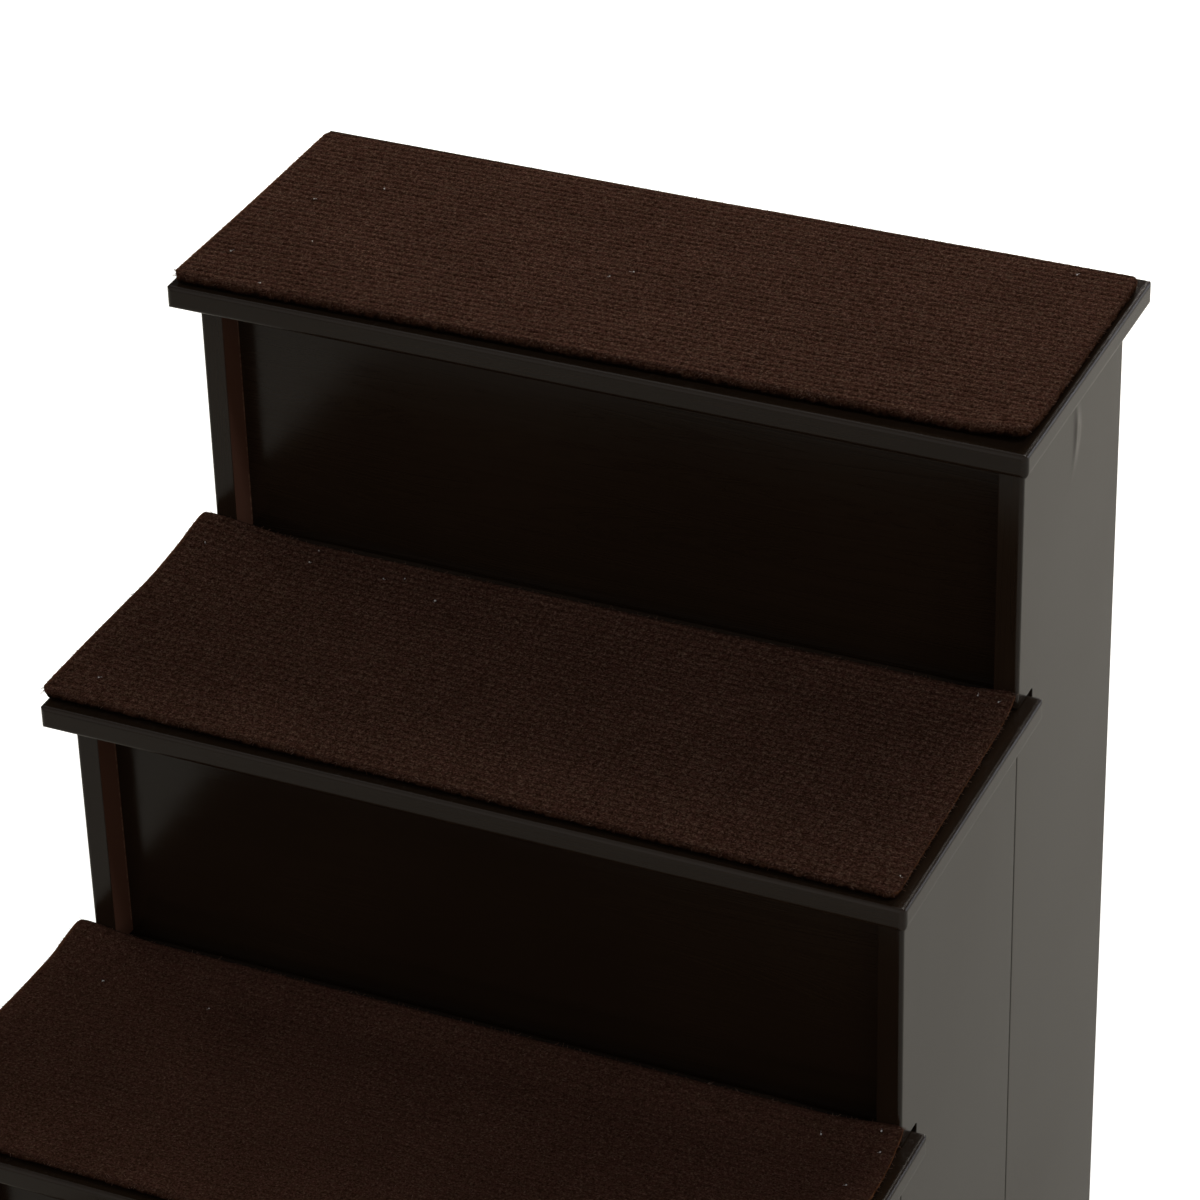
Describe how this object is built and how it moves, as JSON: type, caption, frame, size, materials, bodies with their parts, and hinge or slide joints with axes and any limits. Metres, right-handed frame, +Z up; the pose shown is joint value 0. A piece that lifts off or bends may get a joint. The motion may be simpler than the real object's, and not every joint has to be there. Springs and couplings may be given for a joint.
{
  "type": "pet stairs",
  "caption": "Wooden pet stairs: butted side boards with battens, recessed risers, overhanging treads whose ears run back into slots, and a carpet pad on each tread.",
  "frame": {"origin": "on the floor, under the middle of the overall width and depth", "axes": "+X to the right across the stairs along a tread, +Y from the first step at the front to the highest at the back, +Z up"},
  "size_m": [0.4, 0.5716, 0.5542],
  "materials": {
    "espresso_paint": "satin",
    "carpet": "matte",
    "hook_tape": "matte",
    "beech": "raw",
    "zinc": "satin",
    "glide_rubber": "matte"
  },
  "bodies": {
    "root": {"tread_1": "espresso_paint", "tread_2": "espresso_paint", "tread_3": "espresso_paint", "tread_4": "espresso_paint", "riser_1": "espresso_paint", "riser_2": "espresso_paint", "riser_3": "espresso_paint", "riser_4": "espresso_paint", "left_board_1": "espresso_paint", "left_board_2": "espresso_paint", "left_board_3": "espresso_paint", "left_board_4": "espresso_paint", "right_board_1": "espresso_paint", "right_board_2": "espresso_paint", "right_board_3": "espresso_paint", "right_board_4": "espresso_paint", "left_base_batten": "espresso_paint", "left_batten_1": "espresso_paint", "left_batten_2": "espresso_paint", "left_batten_3": "espresso_paint", "left_batten_4": "espresso_paint", "right_base_batten": "espresso_paint", "right_batten_1": "espresso_paint", "right_batten_2": "espresso_paint", "right_batten_3": "espresso_paint", "right_batten_4": "espresso_paint", "lower_rear_rail": "espresso_paint", "upper_rear_rail": "espresso_paint", "carpet_1": "carpet", "carpet_2": "carpet", "carpet_3": "carpet", "carpet_4": "carpet", "hook_tapes": "hook_tape", "floor_glides": "glide_rubber", "riser_dowels": "beech", "rail_dowels": "beech", "batten_screws": "zinc", "tread_screws": "zinc", "riser_screws": "zinc"}
  },
  "joints": []
}
